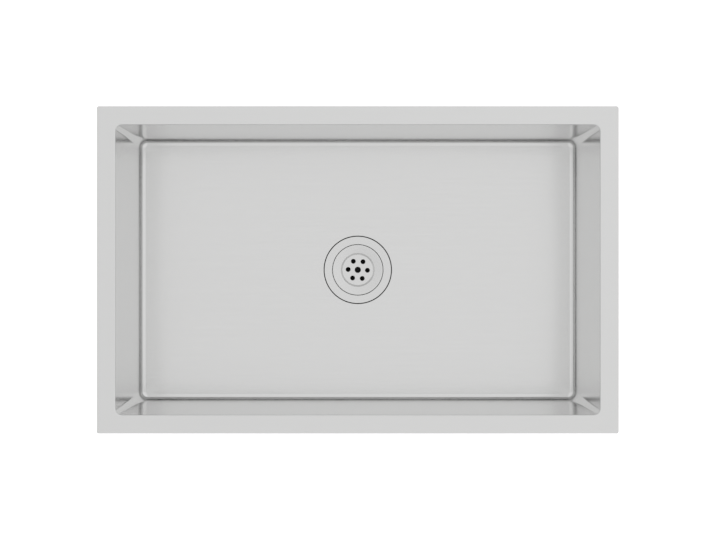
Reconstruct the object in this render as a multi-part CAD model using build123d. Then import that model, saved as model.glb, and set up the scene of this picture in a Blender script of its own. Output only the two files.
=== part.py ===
from build123d import *
import math
import os

# An undermount kitchen sink with a basket strainer. Millimetres, +Z up, +X along the long side.
# The origin is the middle of the rim's top face, where the sink meets the worktop.

# Bowl: one sheet, folded and welded
RIM_LENGTH = 800.0
RIM_WIDTH = 502.0
RIM_CORNER = 3.0
FLANGE = 28.7
SHEET = 1.5
ROLL_RADIUS = 2.6  # top of the bend from flange to wall
BOWL_DEPTH = 229.0
WALL_CORNER = 10.0  # upright corners of the bowl
FLOOR_BEND = 12.0  # walls to floor
FLOOR_FALL = 3.0  # from the bend down to the drain
FLOOR_EYE = 66.0  # radius of the level ring round the drain
FLOOR_EYE_SIDES = 24
FLOOR_LEVEL_EDGE = 0.5  # level strip between the bend and the fall

# Recess and hole for the strainer
RECESS_RADIUS = 58.2
RECESS_DEPTH = 3.7
RECESS_LIP = 1.2
RECESS_CHAMFER = 1.4
RECESS_JOIN = 63.0  # where the pressed ring meets the rest of the floor
DRAIN_HOLE = 44.5

# Sound-deadening pads
PAD = 4.0
PAD_CORNER = 12.0
LONG_PAD = (520.0, 120.0)
SHORT_PAD = (300.0, 120.0)
SIDE_PAD_MIDDLE = -112.0
FLOOR_PAD = (230.0, 330.0)
FLOOR_PAD_OFFSET = 222.0

# Strainer body: drawn cup, heights measured down from the flange's top face
FLANGE_SUNK = 0.2  # flange top below the level ring of the floor
BODY_FLANGE = 57.1
BODY_SHEET = 1.0
FLANGE_DISH = 0.3
LEDGE_RADIUS = 43.9
LEDGE_DEPTH = 1.6
CUP_LIP = 0.8
CUP_RADIUS = 41.35
THREAD_RADIUS = 42.85
CUP_DEPTH = 37.0
SEAT_RADIUS = 27.5
SEAT_DROP = 8.0
BODY_OUTLET = 21.5
BODY_FLOOR = 1.5

# Rings that seal and clamp the strainer
SEAL_BORE = 45.4
SEAL_RADIUS = 56.4
GASKET_BORE = 43.4
GASKET_RADIUS = 55.0
GASKET = 3.0
FRICTION = 1.0
LOCKNUT_BORE = 43.0
LOCKNUT_RADIUS = 50.5
LOCKNUT_FLANGE = 54.5
LOCKNUT_FLANGE_HEIGHT = 3.0
LOCKNUT_HEIGHT = 14.0
LOCKNUT_LUGS = 8
LUG_REACH = 57.0
LUG_WIDTH = 11.0
LUG_INSET = 1.0
LUG_ROUNDING = 6.0  # lug width over the radius of its corners

# Outlet with its cross, washer, tailpiece and its nut
SPIGOT_BORE = 20.4
SPIGOT_THREAD = 23.4
SPIGOT_FLANGE = 28.0
SPIGOT_FLANGE_HEIGHT = 2.5
SPIGOT_LENGTH = 20.0
PILOT_GAP = 0.1
CROSS_ARMS = 3
CROSS_ARM = 3.6
CROSS_TOP = 2.0  # below the spigot's flange
CROSS_HEIGHT = 8.0
SOCKET_RADIUS = 4.6
SOCKET_WALL = 3.2
SOCKET_MOUTH = 1.2
WASHER = 2.0
WASHER_BORE = 19.4
TUBE_RADIUS = 19.05
TUBE_WALL = 1.2
TUBE_LENGTH = 102.0
TUBE_FLANGE = 22.6
TUBE_FLANGE_HEIGHT = 1.4
TUBE_FLARE = 1.0
COUPLING_BORE = 23.5
COUPLING_RADIUS = 27.6
COUPLING_HEIGHT = 21.0
COUPLING_LIP = 2.6
COUPLING_CHAMFER = 2.0
COUPLING_LUGS = 6
COUPLING_REACH = 30.6
COUPLING_LUG_WIDTH = 9.0
TUBE_SLIP = 0.7  # between the nut's lip and the tube

# Lift-out basket
BASKET_SHEET = 0.8
BASKET_SUNK = 0.1  # rim top below the body's flange
BASKET_RADIUS = 42.9
BASKET_RIM = 1.6
CONE_INNER = 27.8
CONE_DROP = 3.2
STEP_RADIUS = 25.8
STEP_DROP = 2.0
HOLE_COUNT = 6
HOLE_RADIUS = 4.15
HOLE_CIRCLE = 16.6
HOLE_TURN_DEG = -2.5
CENTRE_HOLE = 5.1

# Stem, screw, stopper and nose under the basket
STEM_COLLAR = 11.4
STEM_COLLAR_HEIGHT = 2.2
STEM_NECK = 5.0
STEM_BEAD = 5.4
STEM_BEAD_HEIGHT = 0.7
STEM_RADIUS = 7.0
STEM_LENGTH = 26.0
STEM_MOUTH = 3.1
STEM_MOUTH_DEPTH = 9.0
STEM_RIBS = 4
STEM_RIB = 1.6
STEM_RIB_SHORT = 1.0
SCREW_RADIUS = 1.5
SCREW_CLEARANCE = 0.1
SCREW_HEAD = 2.75
SCREW_HEAD_HEIGHT = 1.8
SCREW_LENGTH = 32.0
TAPPED_GAP = 0.05
TAPPED_SPARE = 1.0
SLOT_WIDTH = 0.8
SLOT_DEPTH = 0.8
BACKING_RADIUS = 11.8
BACKING = 1.0
STOPPER_HUB = 4.0
STOPPER_LIP = 31.4
STOPPER_WEB_RADIUS = 23.0
STOPPER_WEB = 2.2
STOPPER_HUB_PROUD = 2.0
STOPPER_LIP_HEIGHT = 1.4
STOPPER_LIP_WIDTH = 1.6
STOPPER_GAP = 0.35  # between lip and seat with the basket down
NOSE_SHOULDER = 8.5
NOSE_SHOULDER_HEIGHT = 2.5
NOSE_RADIUS = 4.2
NOSE_REACH = 3.0  # below the cross
NOSE_CHAMFER = 1.4
NOSE_GROOVE = 3.1
GRIP_RADIUS = 4.5
GRIP_HEIGHT = 1.6
GRIP_ABOVE_TIP = 5.5

# Heights worked out from the above, from the rim's top face
BOWL_LENGTH = RIM_LENGTH - 2 * FLANGE
BOWL_WIDTH = RIM_WIDTH - 2 * FLANGE
FLOOR_EDGE_Z = FLOOR_FALL - BOWL_DEPTH
RECESS_Z = -BOWL_DEPTH - RECESS_DEPTH
UNDERSIDE_Z = RECESS_Z - SHEET
BODY_TOP_Z = -BOWL_DEPTH - FLANGE_SUNK
LEDGE_Z = BODY_TOP_Z - LEDGE_DEPTH
SEAT_TOP_Z = BODY_TOP_Z - CUP_DEPTH
SEAT_LOW_Z = SEAT_TOP_Z - SEAT_DROP
BODY_LOW_Z = SEAT_LOW_Z - BODY_FLOOR
SPIGOT_FLANGE_Z = BODY_LOW_Z - SPIGOT_FLANGE_HEIGHT
SPIGOT_LOW_Z = SPIGOT_FLANGE_Z - SPIGOT_LENGTH
CROSS_TOP_Z = SPIGOT_FLANGE_Z - CROSS_TOP
CROSS_LOW_Z = CROSS_TOP_Z - CROSS_HEIGHT
TUBE_TOP_Z = SPIGOT_LOW_Z - WASHER
BASKET_TOP_Z = BODY_TOP_Z - BASKET_SUNK
CONE_LOW_Z = BASKET_TOP_Z - CONE_DROP
PLATE_TOP_Z = CONE_LOW_Z - STEP_DROP
PLATE_LOW_Z = PLATE_TOP_Z - BASKET_SHEET
STEM_LOW_Z = PLATE_LOW_Z - STEM_LENGTH
SCREW_SEAT_Z = PLATE_TOP_Z - STEM_MOUTH_DEPTH
SCREW_TIP_Z = SCREW_SEAT_Z - SCREW_LENGTH
STOPPER_TOP_Z = STEM_LOW_Z - BACKING
STOPPER_LOW_Z = STOPPER_TOP_Z - STOPPER_HUB
NOSE_TIP_Z = CROSS_LOW_Z - NOSE_REACH
GRIP_Z = NOSE_TIP_Z + GRIP_ABOVE_TIP


def turned(*corners):
    """A solid turned about Z from the (radius, z) corners of its closed outline."""
    outline = Polyline(*[(radius, 0, z) for radius, z in corners], close=True)
    return revolve(make_face(outline), Axis.Z)


def ring(bore, radius, low, high):
    return turned((bore, low), (radius, low), (radius, high), (bore, high))


def round_bar(radius, low, high):
    return Pos(0, 0, low) * extrude(Circle(radius), high - low)


def round_the_axis(count, piece, turn=0.0):
    """Copies of a piece spaced evenly about Z."""
    return [Rot(0, 0, turn + 360 / count * k) * piece for k in range(count)]


def floor_fall(length, width, top):
    """The shallow pit below a level floor edge: flat facets from its four corners down to the eye."""
    inset = FLOOR_LEVEL_EDGE
    corners = [(sx * (length / 2 - inset), sy * (width / 2 - inset), top) for sx in (-1, 1) for sy in (-1, 1)]
    turns = [2 * math.pi * (k + 0.5) / FLOOR_EYE_SIDES for k in range(FLOOR_EYE_SIDES)]
    eye = [(FLOOR_EYE * math.cos(t), FLOOR_EYE * math.sin(t), top - FLOOR_FALL) for t in turns]
    return ConvexPolyhedron(corners + eye)


def hollow(grow):
    """The bowl's hollow, grown outwards: upright walls, bent floor edge, and a floor that falls."""
    length = BOWL_LENGTH + 2 * grow
    width = BOWL_WIDTH + 2 * grow
    bend = FLOOR_BEND + grow
    top = FLOOR_EDGE_Z - grow
    box = extrude(RectangleRounded(length, width, WALL_CORNER + grow), top)
    box = fillet(box.faces().sort_by(Axis.Z)[0].edges(), bend)
    return box + floor_fall(length - 2 * bend, width - 2 * bend, top)


def drain_recess():
    """The pressed ring of floor that the strainer's flange sits in, with the drain hole."""
    top = -BOWL_DEPTH
    outer = RECESS_RADIUS + SHEET
    slope = RECESS_CHAMFER
    return turned(
        (RECESS_JOIN, top),
        (RECESS_RADIUS + RECESS_LIP, top),
        (RECESS_RADIUS, top - RECESS_LIP),
        (RECESS_RADIUS, RECESS_Z),
        (DRAIN_HOLE, RECESS_Z),
        (DRAIN_HOLE, UNDERSIDE_Z),
        (outer - slope, UNDERSIDE_Z),
        (outer, UNDERSIDE_Z + slope),
        (outer, top - SHEET),
        (RECESS_JOIN, top - SHEET),
    )


def sink_bowl():
    """Flange and bowl of one sheet, with the bend between them and the recess for the strainer."""
    plate = extrude(RectangleRounded(RIM_LENGTH, RIM_WIDTH, RIM_CORNER), -SHEET)
    shell = plate + hollow(SHEET) - hollow(0)
    mouth = shell.faces().sort_by(Axis.Z)[-1].inner_wires()[0].edges()
    shell = fillet(mouth, ROLL_RADIUS)
    return shell - round_bar(RECESS_JOIN, -BOWL_DEPTH - 2 * SHEET, FLOOR_EDGE_Z) + drain_recess()


def side_pad(size, turn, distance):
    """A pad on a wall's outer face, which stands at the given distance from the middle."""
    sheet = extrude(RectangleRounded(size[0], size[1], PAD_CORNER), PAD)
    upright = Pos(0, -distance, SIDE_PAD_MIDDLE) * Rot(90, 0, 0) * sheet
    return Rot(0, 0, turn) * upright


def floor_pad(side):
    """A pad that follows the slope of the floor's underside."""
    outline = RectangleRounded(FLOOR_PAD[0], FLOOR_PAD[1], PAD_CORNER)
    block = Pos(side * FLOOR_PAD_OFFSET, 0, 2 * FLOOR_EDGE_Z) * extrude(outline, -FLOOR_EDGE_Z)
    outside = hollow(SHEET)
    return (block & (Pos(0, 0, -PAD) * outside)) - outside


def strainer_body():
    """Drawn cup: dished flange, ledge for the basket's rim, threaded wall, conical seat and outlet hole."""
    flange_low = BODY_TOP_Z - BODY_SHEET
    ledge_low = LEDGE_Z - BODY_SHEET
    wall = THREAD_RADIUS - CUP_RADIUS
    return turned(
        (BODY_FLANGE, BODY_TOP_Z),
        (LEDGE_RADIUS, BODY_TOP_Z - FLANGE_DISH),
        (LEDGE_RADIUS, LEDGE_Z),
        (CUP_RADIUS + CUP_LIP, LEDGE_Z),
        (CUP_RADIUS, LEDGE_Z - CUP_LIP),
        (CUP_RADIUS, SEAT_TOP_Z),
        (SEAT_RADIUS, SEAT_LOW_Z),
        (BODY_OUTLET, SEAT_LOW_Z),
        (BODY_OUTLET, BODY_LOW_Z),
        (SEAT_RADIUS, BODY_LOW_Z),
        (THREAD_RADIUS, SEAT_TOP_Z - wall),
        (THREAD_RADIUS, ledge_low),
        (LEDGE_RADIUS + BODY_SHEET, ledge_low),
        (LEDGE_RADIUS + BODY_SHEET, flange_low - FLANGE_DISH),
        (BODY_FLANGE, flange_low),
    )


def flange_seal():
    low = BODY_TOP_Z - BODY_SHEET - FLANGE_DISH
    return ring(SEAL_BORE, SEAL_RADIUS, RECESS_Z, low)


def body_gasket():
    return ring(GASKET_BORE, GASKET_RADIUS, UNDERSIDE_Z - GASKET, UNDERSIDE_Z)


def friction_washer():
    top = UNDERSIDE_Z - GASKET
    return ring(GASKET_BORE, GASKET_RADIUS, top - FRICTION, top)


def lug(inner, reach, width, low, high):
    """A straight-sided lug from inside a nut's wall out to its reach."""
    block = Pos((reach + inner) / 2, 0, (low + high) / 2) * Box(reach - inner, width, high - low)
    return fillet(block.edges().filter_by(Axis.Z).sort_by(Axis.X)[-2:], width / LUG_ROUNDING)


def locknut():
    """Ring nut with a flange against the washer and lugs round its skirt."""
    top = UNDERSIDE_Z - GASKET - FRICTION
    low = top - LOCKNUT_HEIGHT
    shoulder = top - LOCKNUT_FLANGE_HEIGHT
    nut = turned(
        (LOCKNUT_BORE, low),
        (LOCKNUT_RADIUS, low),
        (LOCKNUT_RADIUS, shoulder),
        (LOCKNUT_FLANGE, shoulder),
        (LOCKNUT_FLANGE, top),
        (LOCKNUT_BORE, top),
    )
    middle = (LOCKNUT_BORE + LOCKNUT_RADIUS) / 2
    ear = lug(middle, LUG_REACH, LUG_WIDTH, low + LUG_INSET, top - LUG_INSET)
    return nut + round_the_axis(LOCKNUT_LUGS, ear)


def outlet_spigot():
    """Threaded outlet under the cup, centred in the cup's hole by its pilot."""
    pilot = BODY_OUTLET - PILOT_GAP
    return turned(
        (SPIGOT_BORE, SPIGOT_LOW_Z),
        (SPIGOT_THREAD, SPIGOT_LOW_Z),
        (SPIGOT_THREAD, SPIGOT_FLANGE_Z),
        (SPIGOT_FLANGE, SPIGOT_FLANGE_Z),
        (SPIGOT_FLANGE, BODY_LOW_Z),
        (pilot, BODY_LOW_Z),
        (pilot, SEAT_LOW_Z),
        (SPIGOT_BORE, SEAT_LOW_Z),
    )


def outlet_cross():
    """Socket for the nose, on three arms that reach the outlet's bore."""
    hub = turned(
        (SOCKET_RADIUS, CROSS_LOW_Z),
        (SOCKET_RADIUS + SOCKET_WALL, CROSS_LOW_Z),
        (SOCKET_RADIUS + SOCKET_WALL, CROSS_TOP_Z),
        (SOCKET_RADIUS + SOCKET_MOUTH, CROSS_TOP_Z),
        (SOCKET_RADIUS, CROSS_TOP_Z - SOCKET_MOUTH),
    )
    inner = SOCKET_RADIUS + SOCKET_WALL / 2
    middle_z = (CROSS_LOW_Z + CROSS_TOP_Z) / 2
    arm = Pos((inner + SPIGOT_THREAD) / 2, 0, middle_z) * Box(SPIGOT_THREAD - inner, CROSS_ARM, CROSS_HEIGHT)
    cross = hub + round_the_axis(CROSS_ARMS, arm, 90)
    return cross & round_bar(SPIGOT_BORE, CROSS_LOW_Z, CROSS_TOP_Z)


def tailpiece_washer():
    return ring(WASHER_BORE, TUBE_FLANGE, TUBE_TOP_Z, SPIGOT_LOW_Z)


def tailpiece():
    """Outlet tube with a flared flange at its top."""
    low = TUBE_TOP_Z - TUBE_LENGTH
    bore = TUBE_RADIUS - TUBE_WALL
    under = TUBE_TOP_Z - TUBE_FLANGE_HEIGHT
    return turned(
        (bore, low),
        (TUBE_RADIUS, low),
        (TUBE_RADIUS, under),
        (TUBE_FLANGE, under),
        (TUBE_FLANGE, TUBE_TOP_Z),
        (bore + TUBE_FLARE, TUBE_TOP_Z),
        (bore, TUBE_TOP_Z - TUBE_FLARE),
    )


def coupling_nut():
    """Slip nut: a threaded skirt, lugs, and a lip under the tube's flange."""
    lip_top = TUBE_TOP_Z - TUBE_FLANGE_HEIGHT
    low = lip_top - COUPLING_LIP
    top = low + COUPLING_HEIGHT
    nut = turned(
        (TUBE_RADIUS + TUBE_SLIP, low),
        (COUPLING_RADIUS - COUPLING_CHAMFER, low),
        (COUPLING_RADIUS, low + COUPLING_CHAMFER),
        (COUPLING_RADIUS, top),
        (COUPLING_BORE, top),
        (COUPLING_BORE, lip_top),
        (TUBE_RADIUS + TUBE_SLIP, lip_top),
    )
    middle = (COUPLING_BORE + COUPLING_RADIUS) / 2
    ear = lug(middle, COUPLING_REACH, COUPLING_LUG_WIDTH, low + COUPLING_CHAMFER, top - LUG_INSET)
    return nut + round_the_axis(COUPLING_LUGS, ear)


def strainer_basket():
    """Pressed strainer: flat rim, shallow cone, a step, and a flat middle with its holes."""
    sheet = BASKET_SHEET
    rim_inner = BASKET_RADIUS - BASKET_RIM
    dish = turned(
        (CENTRE_HOLE, PLATE_TOP_Z),
        (STEP_RADIUS, PLATE_TOP_Z),
        (CONE_INNER, CONE_LOW_Z),
        (rim_inner, BASKET_TOP_Z),
        (BASKET_RADIUS, BASKET_TOP_Z),
        (BASKET_RADIUS, BASKET_TOP_Z - sheet),
        (rim_inner, BASKET_TOP_Z - sheet),
        (CONE_INNER + sheet, CONE_LOW_Z - sheet),
        (STEP_RADIUS + sheet, PLATE_LOW_Z),
        (CENTRE_HOLE, PLATE_LOW_Z),
    )
    hole = Pos(HOLE_CIRCLE, 0, 0) * round_bar(HOLE_RADIUS, PLATE_LOW_Z - sheet, PLATE_TOP_Z + sheet)
    return dish - round_the_axis(HOLE_COUNT, hole, HOLE_TURN_DEG)


def basket_stem():
    """Moulded post: a bead that snaps through the basket's middle, a collar, ribs and a screw well."""
    bead_top = PLATE_TOP_Z + STEM_BEAD_HEIGHT
    collar_low = PLATE_LOW_Z - STEM_COLLAR_HEIGHT
    screw_hole = SCREW_RADIUS + SCREW_CLEARANCE
    post = turned(
        (STEM_MOUTH, bead_top),
        (STEM_NECK, bead_top),
        (STEM_BEAD, PLATE_TOP_Z),
        (STEM_NECK, PLATE_TOP_Z),
        (STEM_NECK, PLATE_LOW_Z),
        (STEM_COLLAR, PLATE_LOW_Z),
        (STEM_COLLAR, collar_low),
        (STEM_RADIUS, collar_low),
        (STEM_RADIUS, STEM_LOW_Z),
        (screw_hole, STEM_LOW_Z),
        (screw_hole, SCREW_SEAT_Z),
        (STEM_MOUTH, SCREW_SEAT_Z),
    )
    inner = (STEM_RADIUS + screw_hole) / 2
    outer = STEM_COLLAR - STEM_RIB_SHORT
    rib = Pos((inner + outer) / 2, 0, (collar_low + STEM_LOW_Z) / 2)
    rib = rib * Box(outer - inner, STEM_RIB, collar_low - STEM_LOW_Z)
    return post + round_the_axis(STEM_RIBS, rib, 45)


def stem_screw():
    """Slotted screw that holds stem, washer, stopper and nose together."""
    top = SCREW_SEAT_Z + SCREW_HEAD_HEIGHT
    screw = turned(
        (0, top),
        (SCREW_HEAD - SLOT_DEPTH / 2, top),
        (SCREW_HEAD, top - SLOT_DEPTH / 2),
        (SCREW_HEAD, SCREW_SEAT_Z),
        (SCREW_RADIUS, SCREW_SEAT_Z),
        (SCREW_RADIUS, SCREW_TIP_Z),
        (0, SCREW_TIP_Z),
    )
    slot = Pos(0, 0, top) * Box(3 * SCREW_HEAD, SLOT_WIDTH, 2 * SLOT_DEPTH)
    return screw - slot


def stopper_washer():
    return ring(SCREW_RADIUS + SCREW_CLEARANCE, BACKING_RADIUS, STOPPER_TOP_Z, STEM_LOW_Z)


def seat_height(radius):
    """Height of the cup's conical seat at a radius."""
    share = (CUP_RADIUS - radius) / (CUP_RADIUS - SEAT_RADIUS)
    return SEAT_TOP_Z - share * SEAT_DROP


def stopper_seal():
    """Rubber disc with a thick hub and a lip that drops to the seat."""
    bore = SCREW_RADIUS + SCREW_CLEARANCE
    hub = NOSE_SHOULDER + STOPPER_HUB_PROUD
    lip_low = seat_height(STOPPER_LIP) + STOPPER_GAP
    web_low = STOPPER_TOP_Z - STOPPER_WEB
    return turned(
        (bore, STOPPER_TOP_Z),
        (STOPPER_WEB_RADIUS, STOPPER_TOP_Z),
        (STOPPER_LIP, lip_low + STOPPER_LIP_HEIGHT),
        (STOPPER_LIP, lip_low),
        (STOPPER_LIP - STOPPER_LIP_WIDTH, lip_low),
        (STOPPER_WEB_RADIUS, web_low),
        (hub, web_low),
        (hub, STOPPER_LOW_Z),
        (bore, STOPPER_LOW_Z),
    )


def stem_nose():
    """Turned pin with a shoulder, a tapped hole for the screw, a ring groove and a chamfered tip."""
    shoulder_low = STOPPER_LOW_Z - NOSE_SHOULDER_HEIGHT
    tapped = SCREW_RADIUS + TAPPED_GAP
    tapped_low = SCREW_TIP_Z - TAPPED_SPARE
    return turned(
        (0, NOSE_TIP_Z),
        (NOSE_RADIUS - NOSE_CHAMFER, NOSE_TIP_Z),
        (NOSE_RADIUS, NOSE_TIP_Z + NOSE_CHAMFER),
        (NOSE_RADIUS, GRIP_Z),
        (NOSE_GROOVE, GRIP_Z),
        (NOSE_GROOVE, GRIP_Z + GRIP_HEIGHT),
        (NOSE_RADIUS, GRIP_Z + GRIP_HEIGHT),
        (NOSE_RADIUS, shoulder_low),
        (NOSE_SHOULDER, shoulder_low),
        (NOSE_SHOULDER, STOPPER_LOW_Z),
        (tapped, STOPPER_LOW_Z),
        (tapped, tapped_low),
        (0, tapped_low),
    )


def grip_ring():
    """Rubber ring in the nose's groove, with bevelled shoulders."""
    top = GRIP_Z + GRIP_HEIGHT
    bevel = GRIP_RADIUS - NOSE_RADIUS
    return turned(
        (NOSE_GROOVE, GRIP_Z),
        (NOSE_RADIUS, GRIP_Z),
        (GRIP_RADIUS, GRIP_Z + bevel),
        (GRIP_RADIUS, top - bevel),
        (NOSE_RADIUS, top),
        (NOSE_GROOVE, top),
    )


def nodes():
    """Every piece by its name."""
    front = BOWL_WIDTH / 2 + SHEET
    side = BOWL_LENGTH / 2 + SHEET
    return {
        "sink_bowl": sink_bowl(),
        "side_pad_front": side_pad(LONG_PAD, 0, front),
        "side_pad_back": side_pad(LONG_PAD, 180, front),
        "side_pad_left": side_pad(SHORT_PAD, -90, side),
        "side_pad_right": side_pad(SHORT_PAD, 90, side),
        "floor_pad_left": floor_pad(-1),
        "floor_pad_right": floor_pad(1),
        "strainer_body": strainer_body(),
        "flange_seal": flange_seal(),
        "body_gasket": body_gasket(),
        "friction_washer": friction_washer(),
        "locknut": locknut(),
        "outlet_spigot": outlet_spigot(),
        "outlet_cross": outlet_cross(),
        "tailpiece_washer": tailpiece_washer(),
        "tailpiece": tailpiece(),
        "coupling_nut": coupling_nut(),
        "strainer_basket": strainer_basket(),
        "basket_stem": basket_stem(),
        "stem_screw": stem_screw(),
        "stopper_washer": stopper_washer(),
        "stopper_seal": stopper_seal(),
        "stem_nose": stem_nose(),
        "grip_ring": grip_ring(),
    }


def main():
    os.makedirs("parts", exist_ok=True)
    for name, solid in nodes().items():
        export_step(solid, f"parts/{name}.step")


main()
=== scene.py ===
"""The look of an undermount kitchen sink with a lift-out basket strainer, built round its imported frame."""
import logging
import math
from collections.abc import Callable, Sequence
from dataclasses import dataclass
from enum import Enum
from typing import ClassVar

import bmesh
import bpy
from mathutils import Matrix, Vector


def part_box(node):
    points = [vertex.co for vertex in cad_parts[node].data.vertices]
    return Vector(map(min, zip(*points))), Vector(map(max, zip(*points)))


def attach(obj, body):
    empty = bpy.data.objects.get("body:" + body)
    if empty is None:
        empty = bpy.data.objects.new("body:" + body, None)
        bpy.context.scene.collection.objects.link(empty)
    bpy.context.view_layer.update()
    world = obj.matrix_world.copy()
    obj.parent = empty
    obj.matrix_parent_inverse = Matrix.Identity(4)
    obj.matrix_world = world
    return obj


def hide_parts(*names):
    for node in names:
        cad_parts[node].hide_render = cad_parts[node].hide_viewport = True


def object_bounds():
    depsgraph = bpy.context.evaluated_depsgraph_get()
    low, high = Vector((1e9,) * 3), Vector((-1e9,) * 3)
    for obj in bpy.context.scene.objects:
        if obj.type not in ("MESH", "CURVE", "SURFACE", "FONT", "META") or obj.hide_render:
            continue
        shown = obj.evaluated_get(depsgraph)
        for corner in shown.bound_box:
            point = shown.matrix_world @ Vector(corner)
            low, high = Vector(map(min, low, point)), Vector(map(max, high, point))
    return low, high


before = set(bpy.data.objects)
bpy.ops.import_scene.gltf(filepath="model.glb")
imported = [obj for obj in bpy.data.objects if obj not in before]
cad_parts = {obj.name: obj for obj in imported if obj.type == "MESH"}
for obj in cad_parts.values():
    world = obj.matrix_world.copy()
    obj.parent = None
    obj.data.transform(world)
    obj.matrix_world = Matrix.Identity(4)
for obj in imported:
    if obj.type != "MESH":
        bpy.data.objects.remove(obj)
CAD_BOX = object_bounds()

LOG = logging.getLogger("kitchen_sink")
MM = 0.001  # outlines are written in millimetres, meshes are made in metres

FACETS = 96  # facets round a turned piece
BEND_STEP = math.radians(18)  # turn from one facet of a rounded edge to the next
SHARP = math.radians(50)  # edges that turn by more stay sharp
STRAIGHT = math.radians(2)  # corners that turn by less are not rounded
BEND_SHARE = 0.45  # the most of an outline's side that the rounding of a corner takes
WELD = 1e-6  # points closer than this are one point, in metres
QUARTER = math.pi / 2

Point = tuple[float, float, float]
Placing = Callable[[float, float, float], Point]


class Body(Enum):
    """The moving groups of the frame."""

    SINK = "sink"
    BASKET = "basket"


class Slot(Enum):
    """The record's material slots."""

    BOWL = "satin_steel"
    PRESSED = "pressed_steel"
    PAD = "damping_rubber"
    SEAL = "black_rubber"
    FIBRE = "fibre"
    PLASTIC = "black_plastic"
    BRASS = "turned_brass"
    PLATED = "plated_brass"
    NYLON = "white_nylon"


class Grain(Enum):
    """How a metal's finish lines run."""

    LEVEL = "level lines along the longer way of each face"
    ROUND = "rings round the upright axis"


# ---- Node trees ----


@dataclass(frozen=True)
class Wire:
    """An output socket of a node, which takes part in Python arithmetic."""

    net: "Net"
    node: bpy.types.Node
    output: int | str = 0

    @property
    def socket(self) -> bpy.types.NodeSocket:
        """The socket itself."""
        return self.node.outputs[self.output]

    def other(self, output: int | str) -> "Wire":
        """Another output of the same node."""
        return Wire(self.net, self.node, output)

    def __add__(self, value: "Wire | float") -> "Wire":
        """Sum."""
        return self.net.maths("ADD", self, value)

    def __sub__(self, value: "Wire | float") -> "Wire":
        """Difference."""
        return self.net.maths("SUBTRACT", self, value)

    def __rsub__(self, value: "Wire | float") -> "Wire":
        """Difference from a number."""
        return self.net.maths("SUBTRACT", value, self)

    def __mul__(self, value: "Wire | float") -> "Wire":
        """Product."""
        return self.net.maths("MULTIPLY", self, value)

    def __truediv__(self, value: "Wire | float") -> "Wire":
        """Quotient."""
        return self.net.maths("DIVIDE", self, value)

    def __pow__(self, value: "Wire | float") -> "Wire":
        """Power."""
        return self.net.maths("POWER", self, value)

    __radd__ = __add__
    __rmul__ = __mul__


class Net:
    """A node tree with one way to add a node."""

    def __init__(self, tree: bpy.types.NodeTree) -> None:
        """Starts on an empty tree."""
        self.tree = tree

    def add(self, kind: str, settings: dict | None = None, inputs: dict | None = None) -> Wire:
        """Adds a node.

        Args:
            kind: the node's type.
            settings: properties of the node, set before its sockets.
            inputs: values or wires by the socket's name or number.

        Returns:
            The wire from the node's first output.
        """
        node = self.tree.nodes.new(kind)
        for name, value in (settings or {}).items():
            setattr(node, name, value)
        for key, value in (inputs or {}).items():
            if isinstance(value, Wire):
                self.tree.links.new(value.socket, node.inputs[key])
            else:
                node.inputs[key].default_value = value
        return Wire(self, node)

    def maths(self, operation: str, *values: Wire | float) -> Wire:
        """A Math node on numbers or wires."""
        return self.add("ShaderNodeMath", {"operation": operation}, dict(enumerate(values)))

    def vectors(self, operation: str, *values: Wire | tuple) -> Wire:
        """A Vector Math node on vectors."""
        return self.add("ShaderNodeVectorMath", {"operation": operation}, dict(enumerate(values)))

    def vector(self, **parts: Wire) -> Wire:
        """A vector from its X, Y and Z parts, each 0 where it isn't given."""
        return self.add("ShaderNodeCombineXYZ", None, parts)

    def part(self, vector: Wire, axis: str) -> Wire:
        """A vector's part along X, Y or Z."""
        return self.add("ShaderNodeSeparateXYZ", None, {0: vector}).other(axis)

    def radius_and_height(self, place: Wire) -> tuple[Wire, Wire]:
        """A place's distance from the upright axis, and its height."""
        flat = self.vectors("MULTIPLY", place, (1.0, 1.0, 0.0))
        return self.vectors("LENGTH", flat).other("Value"), self.part(place, "Z")

    def mix_colours(self, share: Wire | float, first: Wire | tuple, second: Wire | tuple) -> Wire:
        """The mix of two colours, with share as how much of the second."""
        return self.add("ShaderNodeMix", {"data_type": "RGBA"}, {0: share, 6: first, 7: second}).other(2)

    def mix_vectors(self, share: Wire | float, first: Wire, second: Wire) -> Wire:
        """The mix of two vectors, with share as how much of the second."""
        return self.add("ShaderNodeMix", {"data_type": "VECTOR"}, {0: share, 4: first, 5: second}).other(1)

    def noise(self, place: Wire, scale: float, detail: float = 2.0, roughness: float = 0.5) -> Wire:
        """Noise about 0.5.

        Args:
            place: coordinates, in metres.
            scale: features per metre.
            detail: how many finer octaves are added.
            roughness: how strong the finer octaves are.

        Returns:
            The noise value.
        """
        inputs = {"Vector": place, "Scale": scale, "Detail": detail, "Roughness": roughness}
        return self.add("ShaderNodeTexNoise", None, inputs)

    def step(self, value: Wire, low: float, high: float) -> Wire:
        """0 below low, 1 above high, and smooth between."""
        settings = {"interpolation_type": "SMOOTHSTEP"}
        return self.add("ShaderNodeMapRange", settings, {0: value, 1: low, 2: high, 3: 0.0, 4: 1.0})

    def bump(self, height: Wire, distance: float, strength: float) -> Wire:
        """A normal bumped by a height from 0 to 1, which stands for a distance in metres."""
        inputs = {"Height": height, "Distance": distance, "Strength": strength}
        return self.add("ShaderNodeBump", None, inputs)

    def shader(self, **inputs: Wire | float | tuple) -> Wire:
        """A Principled shader, with its sockets named by words joined with _."""
        named = {key.replace("_", " "): value for key, value in inputs.items()}
        return self.add("ShaderNodeBsdfPrincipled", None, named)


# ---- Finishes ----


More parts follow.
